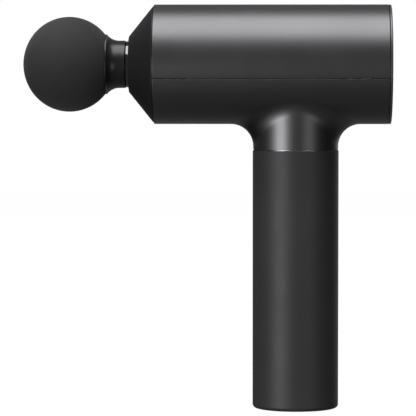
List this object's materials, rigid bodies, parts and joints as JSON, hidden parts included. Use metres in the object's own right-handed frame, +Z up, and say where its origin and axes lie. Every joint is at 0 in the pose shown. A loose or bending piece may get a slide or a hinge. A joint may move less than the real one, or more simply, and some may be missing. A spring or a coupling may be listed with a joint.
{
  "type": "massage gun",
  "caption": "Handheld percussion massager: round barrel across a round handle, tapered nose, soft ball head on a sliding plunger, button and light ring on the rear cap.",
  "frame": {"origin": "centre of the foot's flat face, on the handle's axis", "axes": "+Z up the handle, -X out of the nose along the barrel, Y across the barrel"},
  "size_m": [0.1856, 0.06, 0.203],
  "materials": {
    "shell_grey": "satin anodised over a fine blast",
    "nose_black": "fine matte moulding texture",
    "seal_rubber": "matte black rubber",
    "cap_black": "matte black moulding",
    "light_diffuser": "milky translucent, satin",
    "core_aluminium": "plain extruded tube",
    "grip_silicone": "soft-touch matte silicone",
    "port_steel": "drawn stainless shell",
    "board_green": "green solder resist",
    "screw_steel": "zinc plated",
    "lead_red": "silicone insulation",
    "lead_yellow": "silicone insulation",
    "cell_wrap": "shrink sleeve over a steel can",
    "holder_white": "moulded white",
    "nickel_strip": "spot-welded nickel",
    "cast_metal": "die cast, bead blasted",
    "bush_bronze": "oil-filled sintered bronze",
    "damper_rubber": "soft black rubber",
    "bearing_steel": "ground and polished",
    "stator_steel": "stacked electrical steel",
    "winding_copper": "enamelled copper wire",
    "component_black": "moulded packages and connectors",
    "ribbon_cream": "flat flexible cable",
    "lens_white": "clear lens over a white body",
    "magnet_nickel": "nickel plated magnet",
    "rotor_steel": "pressed steel, dark oxide",
    "crank_steel": "turned steel",
    "cage_brass": "pressed brass",
    "rod_aluminium": "machined, hard anodised",
    "plunger_polished": "ground and polished",
    "clip_steel": "blackened spring steel",
    "ball_foam": "matte closed-cell foam with a fine grain",
    "head_black": "satin black moulding",
    "ring_silicone": "red-brown silicone",
    "button_black": "fine satin moulding"
  },
  "bodies": {
    "housing": {"upper_shell": "shell_grey", "lower_shell": "shell_grey", "nose_cone": "nose_black", "nose_seal": "seal_rubber", "rear_cap": "cap_black", "light_ring": "light_diffuser", "handle_core": "core_aluminium", "grip_sleeve": "grip_silicone", "base_cap": "cap_black", "usb_port": "port_steel", "charge_board": "board_green", "charge_screws": "screw_steel", "charge_leads": "lead_red", "battery_cells": "cell_wrap", "cell_holders": "holder_white", "cell_strips": "nickel_strip", "battery_board": "board_green", "battery_leads": "lead_red", "drive_frame": "cast_metal", "guide_bushes": "bush_bronze", "front_damper": "damper_rubber", "rear_damper": "damper_rubber", "frame_grommets": "damper_rubber", "frame_screws": "screw_steel", "motor_mount": "cast_metal", "motor_screws": "screw_steel", "bearing_outer_rings": "bearing_steel", "stator_core": "stator_steel", "stator_coils": "winding_copper", "motor_leads": "lead_yellow", "control_board": "board_green", "control_parts": "component_black", "control_screws": "screw_steel", "panel_lead": "ribbon_cream", "panel_board": "board_green", "panel_lights": "lens_white", "panel_screws": "screw_steel", "switch_body": "port_steel"},
    "crank": {"rotor_can": "rotor_steel", "rotor_magnets": "magnet_nickel", "motor_shaft": "bearing_steel", "bearing_inner_rings": "bearing_steel", "crank_disc": "crank_steel", "crank_grub_screw": "clip_steel"},
    "ball_cage": {"bearing_balls": "bearing_steel", "ball_cages": "cage_brass"},
    "rod": {"con_rod": "rod_aluminium", "rod_bearing": "bearing_steel", "rod_bush": "bush_bronze", "crank_pin": "crank_steel"},
    "plunger": {"plunger": "plunger_polished", "wrist_pin": "bearing_steel", "pin_clips": "clip_steel"},
    "head": {"foam_ball": "ball_foam", "head_stem": "head_black", "stem_rings": "ring_silicone"},
    "button": {"speed_button": "button_black", "switch_stem": "component_black"}
  },
  "joints": [
    {"name": "crank_spin", "type": "hinge", "parent": "housing", "child": "crank", "pos_m": [0, 0, 0.173], "axis": [0, 0, 1], "continuous": true},
    {"name": "ball_cage_spin", "type": "hinge", "parent": "housing", "child": "ball_cage", "pos_m": [0, 0, 0.173], "axis": [0, 0, 1], "continuous": true},
    {"name": "plunger_slide", "type": "slide", "parent": "housing", "child": "plunger", "axis": [-1, 0, 0], "range_m": [0, 0.012]},
    {"name": "rod_swing", "type": "hinge", "parent": "plunger", "child": "rod", "pos_m": [-0.03, 0, 0.173], "axis": [0, 0, 1], "range_deg": [-9.6, 9.6]},
    {"name": "head_pull", "type": "slide", "parent": "plunger", "child": "head", "axis": [-1, 0, 0], "range_m": [0, 0.034]},
    {"name": "button_press", "type": "slide", "parent": "housing", "child": "button", "axis": [-1, 0, 0], "range_m": [0, 0.0006], "stiffness_N_per_m": 1500, "springref_m": -0.0008}
  ],
  "couplings": [
    {"joint": "ball_cage_spin", "follows": "crank_spin", "ratio": 0.4}
  ]
}
